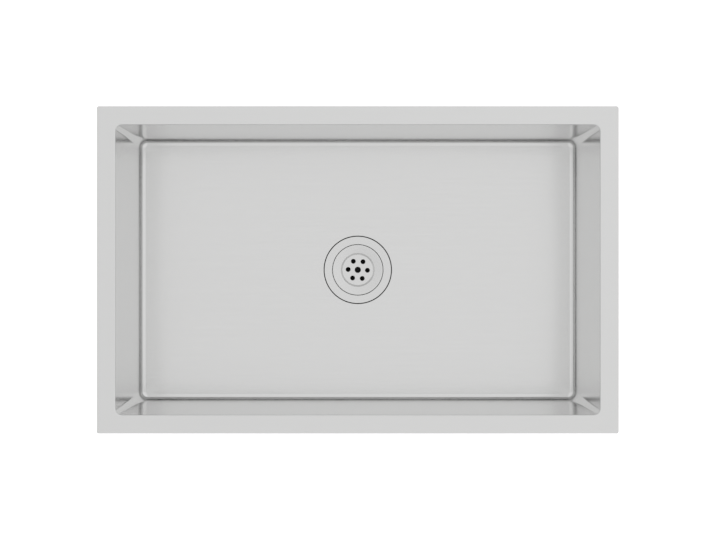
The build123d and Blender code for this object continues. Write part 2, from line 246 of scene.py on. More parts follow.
@dataclass(frozen=True)
class Finish:
    """A surface: its name, colour and roughness."""

    name: str
    colour: tuple[float, float, float]
    roughness: float

    def build(self) -> bpy.types.Material:
        """Makes the material.

        Returns:
            The material, with its shader tree filled in by dress().
        """
        material = bpy.data.materials.new(self.name)
        material.use_nodes = True
        material.node_tree.nodes.clear()
        net = Net(material.node_tree)
        place = net.add("ShaderNodeTexCoord").other("Object")
        surface = self.dress(net, place)
        net.add("ShaderNodeOutputMaterial", None, {"Surface": surface})
        return material

    def dress(self, net: Net, place: Wire) -> Wire:
        """Adds the surface's nodes.

        Args:
            net: the material's tree.
            place: object coordinates, in metres.

        Returns:
            The shader.
        """
        raise NotImplementedError

    def shade(self, share: float) -> tuple[float, ...]:
        """The colour made lighter or darker by a share."""
        return tuple(channel * share for channel in self.colour) + (1.0,)


@dataclass(frozen=True)
class ShadedCrevice:
    """A narrow ring-shaped joint, painted near black as painted shade, in millimetres."""

    inner: float
    outer: float
    low: float  # height above which the painted shade lies
    fade: float = 0.1
    # the painted shade's colour
    colour: tuple[float, ...] = (0.006, 0.006, 0.006, 1.0)

    def painted_shade_share(self, net: Net, place: Wire) -> Wire:
        """How much painted shade a place gets.

        Args:
            net: the material's tree.
            place: object coordinates, in metres.

        Returns:
            From 0 for none to 1 for black painted shade.
        """
        radius, height = net.radius_and_height(place)
        edges = [(radius, self.inner), (radius, self.outer), (height, self.low)]
        passed = (net.step(value, (edge - self.fade) * MM, edge * MM) for value, edge in edges)
        inside, beyond, above = passed
        return inside * (1.0 - beyond) * above


@dataclass(frozen=True)
class SatinMetal(Finish):
    """Metal with fine finish lines, faint smudges, gloss that varies with both, and, where given, a ring of
    painted shade.
    """

    grain: Grain = Grain.LEVEL
    lines: float = 0.25  # how far the finest lines lighten and darken the colour
    gloss_lines: float = 0.10  # how far they change the roughness
    smudge: float = 0.04
    relief: float = 8e-6  # depth of the lines, in metres
    stretch: float = 0.008  # of the coordinates along a line
    scales: tuple[float, float, float] = (2600.0, 260.0, 16.0)  # fine lines, broad lines, smudges per metre
    # a ring of painted shade in a joint, where shade falls
    shaded_crevice: ShadedCrevice | None = None

    def along(self, net: Net, place: Wire) -> Wire:
        """Coordinates stretched along the finish lines.

        Args:
            net: the material's tree.
            place: object coordinates.

        Returns:
            Coordinates that hardly change along a line.
        """
        if self.grain is Grain.ROUND:
            radius, height = net.radius_and_height(place)
            return net.vector(X=radius, Z=height)
        facing = net.add("ShaderNodeNewGeometry").other("Normal")
        sideways = net.maths("ABSOLUTE", net.part(facing, "X"))
        lengthways = net.vectors("MULTIPLY", place, (self.stretch, 1.0, 1.0))
        crossways = net.vectors("MULTIPLY", place, (1.0, self.stretch, 1.0))
        return net.mix_vectors(net.step(sideways, 0.6, 0.8), lengthways, crossways)

    def dress(self, net: Net, place: Wire) -> Wire:
        """Adds the metal's nodes, as Finish.dress says."""
        lines_place = self.along(net, place)
        fine_scale, broad_scale, smudge_scale = self.scales
        fine = net.noise(lines_place, fine_scale, 3.0, 0.6)
        broad = net.noise(lines_place, broad_scale)
        smudges = net.noise(place, smudge_scale, 4.0, 0.6)
        tone = (fine - 0.5) * self.lines + (broad - 0.5) * (0.2 * self.lines) + (smudges - 0.5) * self.smudge
        colour = net.mix_colours(tone + 0.5, self.shade(0.8), self.shade(1.2))
        rough = (fine - 0.5) * self.gloss_lines + (smudges - 0.5) * self.smudge + self.roughness
        # painted shade: the joint's ring is painted near black and made rougher
        if self.shaded_crevice is not None:
            painted_shade = self.shaded_crevice.painted_shade_share(net, place)
            colour = net.mix_colours(painted_shade, colour, self.shaded_crevice.colour)
            rough = painted_shade * 0.5 + rough
        normal = net.bump(fine, self.relief, 0.6)
        return net.shader(Base_Color=colour, Metallic=1.0, Roughness=rough, Normal=normal)


@dataclass(frozen=True)
class Moulded(Finish):
    """Rubber, plastic or fibre with a fine grain and a little dust."""

    grain: float = 900.0  # features per metre
    relief: float = 6e-5
    dust: float = 0.15
    gloss: float = 0.5
    cloud: float = 22.0  # dusty patches per metre

    def dress(self, net: Net, place: Wire) -> Wire:
        """Adds the moulded surface's nodes, as Finish.dress says."""
        fine = net.noise(place, self.grain, 3.0, 0.6)
        cloud = net.noise(place, self.cloud, 4.0, 0.6)
        dusty = net.step(cloud, 0.45, 0.75) * self.dust
        colour = net.mix_colours(dusty, self.shade(1.0), self.shade(1.9))
        colour = net.mix_colours(net.step(fine, 0.3, 0.8) * 0.35, colour, self.shade(0.6))
        rough = (cloud - 0.5) * 0.25 + self.roughness
        normal = net.bump(fine, self.relief, 0.7)
        return net.shader(Base_Color=colour, Roughness=rough, Normal=normal, Specular_IOR_Level=self.gloss)


@dataclass(frozen=True)
class SprayedCoat(Finish):
    """Thick sprayed damping coat: matt, pebbled and slightly uneven in tone."""

    drop: float = 420.0  # drops per metre
    grain: float = 1500.0  # features per metre
    passes: float = 6.0  # passes of the spray gun per metre

    def dress(self, net: Net, place: Wire) -> Wire:
        """Adds the coat's nodes, as Finish.dress says."""
        settings, inputs = {"feature": "SMOOTH_F1"}, {"Vector": place, "Scale": self.drop}
        drops = net.add("ShaderNodeTexVoronoi", settings, inputs)
        fine = net.noise(place, self.grain, 3.0, 0.65)
        passes = net.noise(net.vectors("MULTIPLY", place, (1.0, 1.0, 4.0)), self.passes, 3.0, 0.55)
        tone = (passes - 0.5) * 0.9 + (fine - 0.5) * 0.35 + 0.5
        colour = net.mix_colours(tone, self.shade(0.78), self.shade(1.22))
        normal = net.bump(drops * 0.7 + fine * 0.3, 7e-4, 0.8)
        return net.shader(Base_Color=colour, Roughness=(fine - 0.5) * 0.2 + self.roughness, Normal=normal)


@dataclass(frozen=True)
class StudioFloor(Finish):
    """Plain white floor that gives off a little light, so that it stays as pale as the backdrop."""

    glow: float = 0.8

    def dress(self, net: Net, place: Wire) -> Wire:
        """Adds the floor's nodes, as Finish.dress says."""
        colour = net.mix_colours(net.noise(place, 3.0), self.shade(0.99), self.shade(1.0))
        glow = {"Emission_Color": (1.0, 1.0, 1.0, 1.0), "Emission_Strength": self.glow}
        return net.shader(Base_Color=colour, Roughness=self.roughness, Specular_IOR_Level=0.0, **glow)


class Palette:
    """The finishes of the object, each made once."""

    def __init__(self) -> None:
        """Makes every material."""
        steel, turned_steel = (0.79, 0.79, 0.787), 0.26
        # the screw's colour: black oxide, made this dark as painted shade for the bottom of the stem's well
        black_oxide_and_shade = (0.03, 0.03, 0.031)
        black_plastic, stem_plastic = (0.01, 0.01, 0.0105), (0.004, 0.004, 0.0042)
        ring = Grain.ROUND
        # painted shade: dark rings in the gap round the strainer's flange in the recess, and round the
        # basket's rim on the ledge
        recess = ShadedCrevice(44.0, 58.4, heights_of("sink_bowl")[0] + 1.2)
        ledge = ShadedCrevice(41.6, 43.7, heights_of("strainer_body")[1] - 1.9)
        self.bowl = SatinMetal("satin_sheet_steel", steel, 0.19, shaded_crevice=recess).build()
        self.pressed = SatinMetal("pressed_turned_steel", steel, turned_steel, ring).build()
        self.cup = SatinMetal("drawn_cup_steel", steel, turned_steel, ring, shaded_crevice=ledge).build()
        self.plated = SatinMetal("bright_plating", (0.55, 0.556, 0.56), 0.09, ring, 0.02, 0.02).build()
        self.brass = SatinMetal("turned_brass", (0.72, 0.50, 0.22), 0.26, ring, 0.3, 0.08).build()
        self.blackened_and_shaded = SatinMetal("black_oxide_shade_darkened_screw_steel", black_oxide_and_shade, 0.45, ring, 0.3, 0.1).build()
        self.coat = SprayedCoat("grey_damping_coat", (0.27, 0.275, 0.28), 0.85).build()
        self.pad = Moulded("damping_pad_rubber", (0.035, 0.035, 0.037), 0.72, 700.0, 1e-4).build()
        self.seal = Moulded("black_seal_rubber", (0.018, 0.018, 0.019), 0.5, 1600.0, 3e-5, 0.08).build()
        self.plastic = Moulded("black_moulded_plastic", black_plastic, 0.45, 2200.0, 2e-5, 0.03).build()
        self.stem = Moulded("black_stem_plastic", stem_plastic, 0.6, 2200.0, 2e-5, 0.03, 0.12).build()
        self.nylon = Moulded("white_nylon", (0.72, 0.71, 0.67), 0.42, 1800.0, 2e-5, 0.0).build()
        self.fibre = Moulded("pressed_fibre", (0.36, 0.22, 0.11), 0.8, 1300.0, 8e-5, 0.2).build()
        self.foam = Moulded("closed_cell_foam", (0.20, 0.20, 0.20), 0.9, 1100.0, 2e-4, 0.1).build()


# ---- Meshes ----


@dataclass(frozen=True)
class Corner:
    """A corner of a turned piece's outline: radius, height and rounding, in millimetres."""

    r: float
    z: float
    bend: float = 0.15


def rounded(corners: Sequence[Corner], closed: bool = True) -> list[tuple[float, float]]:
    """Rounds an outline's corners with arcs.

    Args:
        corners: the outline's corners in order.
        closed: whether the last corner joins the first. An open outline's two ends stay as they are.

    Returns:
        Points (radius, height) in millimetres.
    """
    points = []
    for index, corner in enumerate(corners):
        here = Vector((corner.r, corner.z))
        following = corners[(index + 1) % len(corners)]
        back = Vector((corners[index - 1].r, corners[index - 1].z)) - here
        ahead = Vector((following.r, following.z)) - here
        turn = math.pi - back.angle(ahead)
        is_end = not closed and index in (0, len(corners) - 1)
        if is_end or corner.bend <= 0 or corner.r <= 0 or turn < STRAIGHT:
            points.append((here.x, here.y))
            continue
        reach = min(corner.bend * math.tan(turn / 2), BEND_SHARE * back.length, BEND_SHARE * ahead.length)
        radius = reach / math.tan(turn / 2)
        middle = here + (back.normalized() + ahead.normalized()).normalized() * (radius / math.cos(turn / 2))
        spoke = here + back.normalized() * reach - middle
        side = 1 if back.x * ahead.y - back.y * ahead.x < 0 else -1
        steps = max(2, round(turn / BEND_STEP))
        for step in range(steps + 1):
            spot = middle + Matrix.Rotation(side * turn * step / steps, 2) @ spoke
            points.append((spot.x, spot.y))
    return points


def link(name: str, data: bpy.types.ID, *finishes: bpy.types.Material) -> bpy.types.Object:
    """Puts a mesh with its finishes, or a camera, in the scene as an object at the origin."""
    for finish in finishes:
        data.materials.append(finish)
    piece = bpy.data.objects.new(name, data)
    bpy.context.scene.collection.objects.link(piece)
    return piece


def mesh_from(name: str, build: bmesh.types.BMesh) -> bpy.types.Mesh:
    """Welds a built shape, turns its faces outwards and shades it smooth.

    Args:
        name: the mesh's name.
        build: the shape, in metres. It is freed.

    Returns:
        The mesh.
    """
    bmesh.ops.remove_doubles(build, verts=build.verts, dist=WELD)
    bmesh.ops.recalc_face_normals(build, faces=build.faces)
    mesh = bpy.data.meshes.new(name)
    build.to_mesh(mesh)
    build.free()
    mesh.shade_smooth()
    mesh.set_sharp_from_angle(angle=SHARP)
    return mesh


def skin(build: bmesh.types.BMesh, rings: Sequence[Sequence], closed: bool = True) -> list:
    """Joins rings of points with faces.

    Args:
        build: the shape that gets the faces.
        rings: rings of the same number of points, in metres.
        closed: whether the last ring joins the first.

    Returns:
        The faces between each ring and the next, one list for each gap.
    """
    made = [[build.verts.new(point) for point in ring] for ring in rings]
    gaps = zip(made, made[1:] + made[:1]) if closed else zip(made, made[1:])
    faces = []
    for lower, upper in gaps:
        after = range(-len(lower) + 1, 1)
        faces.append([build.faces.new((lower[n - 1], lower[n], upper[n], upper[n - 1])) for n in after])
    return faces


def round_ring(radius: float, height: float, facets: int = FACETS) -> list[Vector]:
    """Points round the upright axis, from +X anticlockwise, from sizes in millimetres."""
    turns = [2 * math.pi * k / facets for k in range(facets)]
    return [Vector((radius * math.cos(t), radius * math.sin(t), height)) * MM for t in turns]


def turned(name: str, corners: Sequence[Corner], facets: int = FACETS, closed: bool = True) -> bpy.types.Mesh:
    """Turns an outline round the upright axis.

    Args:
        name: the mesh's name.
        corners: the outline's corners.
        facets: how many facets go round.
        closed: whether the outline is closed.

    Returns:
        The mesh.
    """
    build = bmesh.new()
    skin(build, [round_ring(r, z, facets) for r, z in rounded(corners, closed)], closed)
    bmesh.ops.remove_doubles(build, verts=build.verts, dist=WELD)
    bmesh.ops.dissolve_degenerate(build, edges=build.edges, dist=WELD)
    return mesh_from(name, build)


def block(name: str, low: Sequence[float], high: Sequence[float], edge: float) -> bpy.types.Mesh:
    """A block with rounded edges, between two corners in millimetres."""
    build = bmesh.new()
    bmesh.ops.create_cube(build, size=1.0)
    size = [(b - a) * MM for a, b in zip(low, high)]
    middle = [(a + b) / 2 * MM for a, b in zip(low, high)]
    placing = Matrix.Translation(middle) @ Matrix.Diagonal((*size, 1))
    bmesh.ops.transform(build, matrix=placing, verts=build.verts)
    bmesh.ops.bevel(build, geom=build.edges[:], offset=edge * MM, segments=3, affect="EDGES", profile=0.5)
    return mesh_from(name, build)


def join(name: str, parts: Sequence[bpy.types.Object], finish: bpy.types.Material) -> bpy.types.Object:
    """Welds several meshes into one piece.

    Args:
        name: the new piece's name.
        parts: the objects that are joined. They are removed.
        finish: the material.

    Returns:
        The new object.
    """
    build = bmesh.new()
    for part in parts:
        build.from_mesh(part.data)
        bpy.data.objects.remove(part)
    return link(name, mesh_from(name, build), finish)


def register(piece: bpy.types.Object, body: Body, slot: Slot, *replaced: str) -> None:
    """Hands a finished piece to the frame.

    Args:
        piece: the piece, at the origin.
        body: the body that it moves with.
        slot: the record's material slot; not used.
        replaced: the frame's nodes that it stands for.
    """
    weigh = piece.modifiers.new("normals", "WEIGHTED_NORMAL")
    weigh.keep_sharp = True
    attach(piece, body.value)
    if replaced:
        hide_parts(*replaced)
    LOG.info("%s: %d faces, on %s", piece.name, len(piece.data.polygons), body.value)


# ---- Recipes ----


class Recipe:
    """A Geometry Nodes tree with named inputs, run once to make a plain mesh."""

    KINDS: ClassVar[dict[str, str]] = {
        "Piece": "NodeSocketObject",
        "Count": "NodeSocketInt",
        "Finish": "NodeSocketMaterial",
    }

    def __init__(self, name: str, *labels: str) -> None:
        """Starts the tree.

        Args:
            name: the tree's name.
            labels: the inputs' names. The ones that KINDS leaves out are numbers. Finish is added.
        """
        self.tree = bpy.data.node_groups.new(name, "GeometryNodeTree")
        for label in (*labels, "Finish"):
            kind = self.KINDS.get(label, "NodeSocketFloat")
            self.tree.interface.new_socket(label, in_out="INPUT", socket_type=kind)
        self.tree.interface.new_socket("Mesh", in_out="OUTPUT", socket_type="NodeSocketGeometry")
        self.net = Net(self.tree)
        self.entry = self.net.add("NodeGroupInput")

    def given(self, label: str) -> Wire:
        """The wire from a named input."""
        return self.entry.other(label)

    def geometry(self, kind: str, inputs: dict, settings: dict | None = None) -> Wire:
        """A node of the geometry kind, named without its prefix."""
        return self.net.add("GeometryNode" + kind, settings, inputs)

    def circle(self, facets: int, label: str) -> Wire:
        """A circle with a named input as its radius."""
        return self.geometry("CurvePrimitiveCircle", {"Resolution": facets, "Radius": self.given(label)})

    def moved(self, shape: Wire, axis: str, label: str) -> Wire:
        """A shape moved along an axis by a named input."""
        way = self.net.vector(**{axis: self.given(label)})
        return self.geometry("Transform", {"Geometry": shape, "Translation": way})

    def spread(self, shape: Wire) -> Wire:
        """Copies of a shape round the upright axis, as the inputs Count and Turn say."""
        points = self.geometry("Points", {"Count": self.given("Count")})
        index = self.net.add("GeometryNodeInputIndex")
        turn = self.net.vector(Z=index * (2 * math.pi) / self.given("Count") + self.given("Turn"))
        return self.geometry("InstanceOnPoints", {"Points": points, "Instance": shape, "Rotation": turn})

    def end(self, shape: Wire) -> None:
        """Closes the tree: instances are made real and get the finish."""
        real = self.geometry("RealizeInstances", {"Geometry": shape})
        dressed = self.geometry("SetMaterial", {"Geometry": real, "Material": self.given("Finish")})
        self.net.add("NodeGroupOutput", None, {0: dressed})

    def run(self, name: str, values: dict) -> bpy.types.Object:
        """Makes a mesh object.

        Args:
            name: the object's name.
            values: the value of each input, by name.

        Returns:
            The object, with a plain mesh and no modifier.
        """
        piece = link(name, bpy.data.meshes.new(name))
        modifier = piece.modifiers.new("recipe", "NODES")
        modifier.node_group = self.tree
        for item in self.tree.interface.items_tree:
            if item.in_out == "INPUT":
                modifier[item.identifier] = values[item.name]
        bpy.context.view_layer.update()
        depsgraph = bpy.context.evaluated_depsgraph_get()
        mesh = bpy.data.meshes.new_from_object(piece.evaluated_get(depsgraph))
        piece.modifiers.remove(modifier)
        piece.data = mesh
        return piece


class Workshop:
    """The recipes for what repeats: things round an axis, screw threads and perforations."""

    RIDGE: ClassVar[float] = 0.27  # a thread's ridge, as a share of its pitch
    FADE: ClassVar[float] = 0.03  # the share of a thread in which it fades in, and out again

    def __init__(self) -> None:
        """Builds the trees."""
        self.round_axis = self._round_axis()
        self.thread = self._thread()
        self.perforated = self._perforated()

    def _round_axis(self) -> Recipe:
        """A recipe that sets copies of a piece round the upright axis."""
        recipe = Recipe("round_the_axis", "Piece", "Count", "Turn")
        piece = recipe.geometry("ObjectInfo", {"Object": recipe.given("Piece")}).other("Geometry")
        recipe.end(recipe.spread(piece))
        return recipe

    def _thread(self) -> Recipe:
        """A recipe for a screw thread: a ridge swept along a helix, which fades in and out at its ends."""
        recipe = Recipe("screw_thread", "Radius", "Low", "Height", "Turns", "Ridge")
        sizes = {
            "Resolution": FACETS // 2,
            "Rotations": recipe.given("Turns"),
            "Start Radius": recipe.given("Radius"),
            "End Radius": recipe.given("Radius"),
            "Height": recipe.given("Height"),
        }
        helix = recipe.geometry("CurveSpiral", sizes)
        helix = recipe.geometry("SetCurveNormal", {"Curve": helix}, {"mode": "Z_UP"})
        along = recipe.net.add("GeometryNodeSplineParameter")
        fade = recipe.net.step(0.5 - recipe.net.maths("ABSOLUTE", along - 0.5), 0.0, self.FADE)
        profile = recipe.circle(4, "Ridge")
        sweep = {"Curve": helix, "Profile Curve": profile, "Scale": fade * 0.95 + 0.05, "Fill Caps": True}
        recipe.end(recipe.moved(recipe.geometry("CurveToMesh", sweep), "Z", "Low"))
        return recipe

    def _perforated(self) -> Recipe:
        """A recipe for one face of a flat round plate with a ring of holes and a middle hole."""
        labels = ("Radius", "Height", "Count", "Turn", "Hole", "Hole Circle", "Middle Hole")
        recipe = Recipe("perforated_plate", *labels)
        rim = recipe.circle(FACETS, "Radius")
        middle = recipe.circle(FACETS // 2, "Middle Hole")
        hole = recipe.moved(recipe.circle(FACETS // 4, "Hole"), "X", "Hole Circle")
        holes = recipe.geometry("RealizeInstances", {"Geometry": recipe.spread(hole)})
        outlines = recipe.geometry("JoinGeometry", {"Geometry": rim})
        for curve in (middle, holes):
            recipe.tree.links.new(curve.socket, outlines.node.inputs[0])
        plate = recipe.geometry("FillCurve", {"Curve": outlines})
        recipe.end(recipe.moved(plate, "Z", "Height"))
        return recipe

    def ring_of(
        self, name: str, mesh: bpy.types.Mesh, count: int, turn: float, finish: bpy.types.Material
    ) -> bpy.types.Object:
        """Sets copies of a mesh round the axis.

        Args:
            name: the new piece's name.
            mesh: the mesh that is copied.
            count: how many.
            turn: the first one's angle, in radians.
            finish: the material.

        Returns:
            The new object.
        """
        piece = link("pattern", mesh)
        made = self.round_axis.run(name, {"Piece": piece, "Count": count, "Turn": turn, "Finish": finish})
        bpy.data.objects.remove(piece)
        return made

    def screw_thread(
        self, name: str, radius: float, low: float, high: float, pitch: float, finish: bpy.types.Material
    ) -> bpy.types.Object:
        """A thread's ridge.

        Args:
            name: the piece's name.
            radius: the ridge's middle line, in millimetres as are the rest.
            low: where it starts.
            high: where it ends.
            pitch: from one turn to the next.
            finish: the material.

        Returns:
            The new object.
        """
        values = {
            "Radius": radius * MM,
            "Low": low * MM,
            "Height": (high - low) * MM,
            "Turns": (high - low) / pitch,
            "Ridge": self.RIDGE * pitch * MM,
            "Finish": finish,
        }
        return self.thread.run(name, values)


# ---- The bowl and its pads ----


def heights_of(node: str) -> tuple[float, float]:
    """A node's lowest and highest point, in millimetres."""
    low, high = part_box(node)
    return low.z / MM, high.z / MM


def reach_of(node: str) -> float:
    """How far a node reaches along +X, in millimetres."""
    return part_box(node)[1].x / MM


@dataclass
class Bowl:
    """The folded sheet: rim flange, walls, bent floor edge, dished floor and the recess round the drain."""

    palette: Palette
    flange: float = 28.7
    sheet: float = 1.5
    rim_corner: float = 3.0
    rim_edge: float = 0.35
    roll: float = 1.4
    wall_corner: float = 10.0
    foot_corner: float = 12.5  # the upright corners open out to this at their foot
    foot_lean: float = 1.2  # how far the front and back walls stand in at their foot, inside
    floor_bend: float = 8.0
    floor_fall: float = 3.0
    floor_level: float = 0.9  # the share of the way in from which the floor is level
    floor_curve: float = 1.3  # the fall's power, which makes it start gently
    eye: float = 66.0
    eye_above: float = 0.2  # how far the eye lies above the strainer's flange
    recess: float = 58.2
    recess_lip: float = 1.2
    recess_bevel: float = 1.4
    drain: float = 44.5
    coat: float = 0.4
    coat_top: float = -14.0
    coat_eye: float = 64.0
    weld: float = 1.0

    corner_steps: int = 8
    long_steps: int = 10
    short_steps: int = 6
    bend_steps: int = 8
    wall_steps: int = 8
    floor_steps: int = 24
    margin: float = 0.5  # a narrow band beside each bend keeps the flat beyond it flat

    def __post_init__(self) -> None:
        """Works out the sizes that follow from the frame."""
        self.rim_x = reach_of("sink_bowl")
        self.rim_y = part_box("sink_bowl")[1].y / MM
        self.mouth_x = self.rim_x - self.flange
        self.mouth_y = self.rim_y - self.flange
        self.underside = heights_of("sink_bowl")[0]
        self.recess_floor = self.underside + self.sheet
        self.eye_height = heights_of("strainer_body")[1] + self.eye_above
        self.floor_edge = self.eye_height + self.floor_fall
        self.wall_low = self.floor_edge + self.floor_bend
        self.bend_turns = [QUARTER * k / self.bend_steps for k in range(self.bend_steps + 1)]

    @staticmethod
    def quadrants(first: list[tuple[float, float]], height: float) -> list[Vector]:
        """A ring from its first quadrant.

        Args:
            first: points from the +X axis to the +Y axis, both included, in millimetres.
            height: the ring's height.

        Returns:
            The whole ring's points, in metres.
        """
        back = first[::-1]
        flat = first[:-1] + [(-x, y) for x, y in back][:-1]
        flat += [(-x, -y) for x, y in first][:-1] + [(x, -y) for x, y in back][:-1]
        return [Vector((x, y, height)) * MM for x, y in flat]

    def oblong(self, half_x: float, half_y: float, corner: float, height: float) -> list[Vector]:
        """A level ring in the shape of a rounded rectangle."""
        start_x, start_y = half_x - corner, half_y - corner
        side = [(half_x, start_y * k / self.short_steps) for k in range(self.short_steps)]
        turns = [QUARTER * k / self.corner_steps for k in range(self.corner_steps + 1)]
        bend = [(start_x + corner * math.cos(t), start_y + corner * math.sin(t)) for t in turns]
        front = [(start_x * (1 - k / self.long_steps), half_y) for k in range(1, self.long_steps + 1)]
        return self.quadrants(side + bend + front, height)

    def circle(self, radius: float, height: float) -> list[Vector]:
        """A level round ring with as many points as an oblong one."""
        count = self.short_steps + self.corner_steps + self.long_steps
        turns = [QUARTER * k / count for k in range(count + 1)]
        return self.quadrants([(radius * math.cos(t), radius * math.sin(t)) for t in turns], height)

    def rim_ring(self, inset: float, height: float) -> list[Vector]:
        """A ring of the flange's outline."""
        return self.oblong(self.rim_x - inset, self.rim_y - inset, self.rim_corner - inset, height)

    def wall_ring(self, grow: float, height: float) -> list[Vector]:
        """A ring of the wall's outline.

        Args:
            grow: how far it lies outside the wall's inner face.
            height: its height, in millimetres.

        Returns:
            The ring's points, with corners that are tight at the rim and open out towards the foot.
        """
        share = min(1.0, max(0.0, height / self.wall_low))
        corner = max(0.0, self.wall_corner + (self.foot_corner - self.wall_corner) * share + grow)
        lean = self.foot_lean * share if grow <= 0 else 0.0
        return self.oblong(self.mouth_x + grow, self.mouth_y + grow - lean, corner, height)

    def wall_rings(self, grow: float) -> list[list[Vector]]:
        """Rings of the flat wall, from the top down to the floor's bend."""
        shares = [(k + 1) / self.wall_steps for k in range(self.wall_steps)]
        return [self.wall_ring(grow, self.wall_low * share) for share in shares]

    def bend_rings(self, reach: float) -> list[list[Vector]]:
        """Rings of the bend from the wall to the floor, at a reach from the bend's middle line."""
        bend = self.floor_bend
        return [
            self.wall_ring(reach * math.cos(t) - bend, self.wall_low - reach * math.sin(t))
            for t in self.bend_turns
        ]

    def floor_height(self, x: float, y: float) -> float:
        """Height of the dished floor's top, in millimetres.

        Args:
            x: place along the sink.
            y: place across it.

        Returns:
            The height: level at the edge and round the drain, with an even fall between.
        """
        across = x / (self.mouth_x - self.floor_bend)
        along = y / (self.mouth_y - self.floor_bend)
        inside = max(0.0, (1 - across**2) * (1 - along**2))
        return self.floor_edge - self.floor_fall * min(1.0, inside / self.floor_level) ** self.floor_curve

    def floor_rings(self, drop: float) -> list[list[Vector]]:
        """Rings of the floor from its edge to the level eye, lowered by a drop."""
        outer = self.wall_ring(-self.floor_bend - self.margin, self.floor_edge)
        inner = self.circle(self.eye, 0)
        rings = []
        for step in range(self.floor_steps + 1):
            flat = [a.lerp(b, step / self.floor_steps) / MM for a, b in zip(outer, inner)]
            rings.append([Vector((p.x, p.y, self.floor_height(p.x, p.y) - drop)) * MM for p in flat])
        return rings

    def inside_rings(self) -> list[list[Vector]]:
        """Rings of the side that shows, from the flange's edge to the drain hole."""
        edge, roll, lip, eye = self.rim_edge, self.roll, self.recess_lip, self.eye_height
        turns, few = self.bend_turns, self.bend_turns[::2]
        return [
            *(self.rim_ring(edge * (1 - math.cos(t)), edge * (math.sin(t) - 1)) for t in few),
            self.rim_ring(edge + self.margin, 0),
            self.wall_ring(roll + self.margin, 0),
            *(self.wall_ring(roll * (1 - math.sin(t)), roll * (math.cos(t) - 1)) for t in turns),
            self.wall_ring(0, -roll - self.margin),
            *self.wall_rings(0),
            *self.bend_rings(self.floor_bend),
            *self.floor_rings(0),
            self.circle(self.recess + lip + self.margin, eye),
            *(self.circle(self.recess + lip * (1 - math.sin(t)), eye + lip * (math.cos(t) - 1)) for t in few),
            self.circle(self.recess, self.recess_floor),
            self.circle(self.drain, self.recess_floor),
        ]

    def outside_rings(self) -> tuple[list[list[Vector]], int, int]:
        """Rings of the hidden side, from the drain hole to the flange's edge.

        Returns:
            The rings, and the numbers of the gaps between which the damping coat lies.
        """
        sheet, edge, weld = self.sheet, self.rim_edge, self.weld
        outer, below, coated = self.recess + sheet, self.eye_height - sheet, sheet + self.coat
        start = [
            self.circle(self.drain, self.underside),
            self.circle(outer - self.recess_bevel, self.underside),
            self.circle(outer, self.underside + self.recess_bevel),
            self.circle(outer, below),
            self.circle(self.coat_eye, below),
        ]
        covered = [
            *self.floor_rings(coated)[::-1],
            *self.bend_rings(self.floor_bend + coated)[::-1],
            *self.wall_rings(coated)[::-1],
            self.wall_ring(coated, self.coat_top - self.coat),
            self.wall_ring(sheet + self.coat / 2, self.coat_top - self.coat / 4),
        ]
        soft = 0.3 * edge  # the middle of the flange's rounded edge
        fillet = [(1 - math.cos(t), 1 - math.sin(t)) for t in (0, QUARTER / 2, QUARTER)]
        end = [
            self.wall_ring(sheet, self.coat_top),
            self.wall_ring(sheet, -sheet - weld - self.margin),
            *(self.wall_ring(sheet + weld * across, -sheet - weld * up) for across, up in fillet),
            self.rim_ring(edge + self.margin, -sheet),
            self.rim_ring(edge, -sheet),
            self.rim_ring(soft, -sheet + soft),
            self.rim_ring(0, -sheet + edge),
        ]
        return start + covered + end, len(start), len(start + covered)

    def build(self) -> None:
        """Makes the bowl and hands it to the frame."""
        inside = self.inside_rings()
        outside, first, last = self.outside_rings()
        build = bmesh.new()
        gaps = skin(build, inside + outside)
        for gap in gaps[len(inside) + first - 1 : len(inside) + last]:
            for face in gap:
                face.material_index = 1
        piece = link("bowl", mesh_from("bowl", build), self.palette.bowl, self.palette.coat)
        register(piece, Body.SINK, Slot.BOWL, "sink_bowl")


